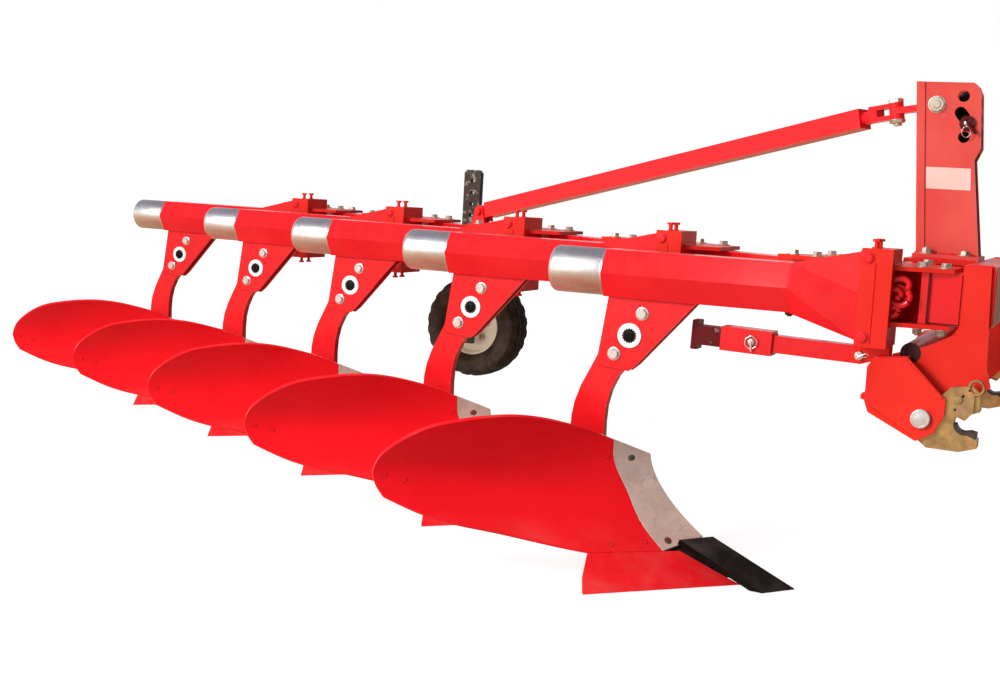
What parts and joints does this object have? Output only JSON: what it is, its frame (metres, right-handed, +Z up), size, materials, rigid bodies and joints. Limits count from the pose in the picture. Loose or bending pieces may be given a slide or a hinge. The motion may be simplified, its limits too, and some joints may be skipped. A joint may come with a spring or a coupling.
{
  "type": "mounted plough",
  "caption": "Mounted mouldboard plough, right turning, with sprung trip arms on an oblique beam, tractor headstock with braced mast, depth wheel and folding parking stand.",
  "frame": {"origin": "on the ground under the middle of the plough's box", "axes": "+X forward towards the tractor, +Y to the left, +Z up"},
  "size_m": [4.4278, 2.6048, 1.4847],
  "materials": {
    "red_paint": "gloss",
    "polished_steel": "polished",
    "worn_steel": "ground",
    "black_paint": "satin",
    "post_steel": "satin",
    "tyre_rubber": "matt",
    "rim_paint": "satin",
    "plated_steel": "yellow plated"
  },
  "bodies": {
    "frame": {"head_1": "red_paint", "head_2": "red_paint", "head_3": "red_paint", "head_4": "red_paint", "head_5": "red_paint", "main_beam": "red_paint", "headstock": "red_paint", "mast": "red_paint", "eye_bar": "red_paint", "brace": "red_paint", "hook_right": "plated_steel", "hook_left": "plated_steel"},
    "body_1": {"arm_1": "red_paint", "spring_cover_1": "polished_steel", "leg_1": "red_paint", "mouldboard_1": "red_paint", "shin_1": "worn_steel", "share_1": "red_paint", "point_1": "black_paint", "frog_1": "black_paint"},
    "body_2": {"arm_2": "red_paint", "spring_cover_2": "polished_steel", "leg_2": "red_paint", "mouldboard_2": "red_paint", "shin_2": "worn_steel", "share_2": "red_paint", "point_2": "black_paint", "frog_2": "black_paint"},
    "body_3": {"arm_3": "red_paint", "spring_cover_3": "polished_steel", "leg_3": "red_paint", "mouldboard_3": "red_paint", "shin_3": "worn_steel", "share_3": "red_paint", "point_3": "black_paint", "frog_3": "black_paint"},
    "body_4": {"arm_4": "red_paint", "spring_cover_4": "polished_steel", "leg_4": "red_paint", "mouldboard_4": "red_paint", "shin_4": "worn_steel", "share_4": "red_paint", "point_4": "black_paint", "frog_4": "black_paint"},
    "body_5": {"arm_5": "red_paint", "spring_cover_5": "polished_steel", "leg_5": "red_paint", "mouldboard_5": "red_paint", "shin_5": "worn_steel", "share_5": "red_paint", "point_5": "black_paint", "frog_5": "black_paint"},
    "depth_post": {"wheel_post": "post_steel"},
    "depth_wheel": {"tyre": "tyre_rubber", "rim": "rim_paint"},
    "stand": {"stand_tube": "red_paint"},
    "stand_foot": {"stand_leg": "red_paint"},
    "link_pin": {"top_link_pin": "worn_steel"},
    "latch_r": {"latch_right": "plated_steel"},
    "latch_l": {"latch_left": "plated_steel"}
  },
  "joints": [
    {"name": "trip_1", "type": "hinge", "parent": "frame", "child": "body_1", "pos_m": [1.87986, -0.76915, 0.97], "axis": [0, 1, 0], "range_deg": [0, 20], "stiffness_Nm_per_rad": 20000, "springref_deg": -17.19},
    {"name": "trip_2", "type": "hinge", "parent": "frame", "child": "body_2", "pos_m": [1.16886, -0.36315, 0.97], "axis": [0, 1, 0], "range_deg": [0, 20], "stiffness_Nm_per_rad": 20000, "springref_deg": -17.19},
    {"name": "trip_3", "type": "hinge", "parent": "frame", "child": "body_3", "pos_m": [0.45786, 0.04285, 0.97], "axis": [0, 1, 0], "range_deg": [0, 20], "stiffness_Nm_per_rad": 20000, "springref_deg": -17.19},
    {"name": "trip_4", "type": "hinge", "parent": "frame", "child": "body_4", "pos_m": [-0.25314, 0.44885, 0.97], "axis": [0, 1, 0], "range_deg": [0, 20], "stiffness_Nm_per_rad": 20000, "springref_deg": -17.19},
    {"name": "trip_5", "type": "hinge", "parent": "frame", "child": "body_5", "pos_m": [-0.96414, 0.85485, 0.97], "axis": [0, 1, 0], "range_deg": [0, 20], "stiffness_Nm_per_rad": 20000, "springref_deg": -17.19},
    {"name": "wheel_height", "type": "slide", "parent": "frame", "child": "depth_post", "axis": [0, 0, 1], "range_m": [-0.188, 0.047]},
    {"name": "wheel_spin", "type": "hinge", "parent": "depth_post", "child": "depth_wheel", "pos_m": [0.00873, 0.71446, 0.505], "axis": [0, 1, 0], "continuous": true},
    {"name": "stand_swing", "type": "hinge", "parent": "frame", "child": "stand", "pos_m": [1.86086, -0.71515, 0.693], "axis": [0, -1, 0], "range_deg": [0, 90]},
    {"name": "stand_extend", "type": "slide", "parent": "stand", "child": "stand_foot", "axis": [-0.9997, 0, 0.0262], "range_m": [0, 0.1]},
    {"name": "top_link_pin_pull", "type": "slide", "parent": "frame", "child": "link_pin", "axis": [0, -1, 0], "range_m": [0, 0.13]},
    {"name": "latch_right_swing", "type": "hinge", "parent": "frame", "child": "latch_r", "pos_m": [2.14216, -0.82815, 0.6095], "axis": [0, 1, 0], "range_deg": [0, 30], "stiffness_Nm_per_rad": 3, "springref_deg": -28.65},
    {"name": "latch_left_swing", "type": "hinge", "parent": "frame", "child": "latch_l", "pos_m": [2.14216, 0.18985, 0.6095], "axis": [0, 1, 0], "range_deg": [0, 30], "stiffness_Nm_per_rad": 3, "springref_deg": -28.65}
  ]
}
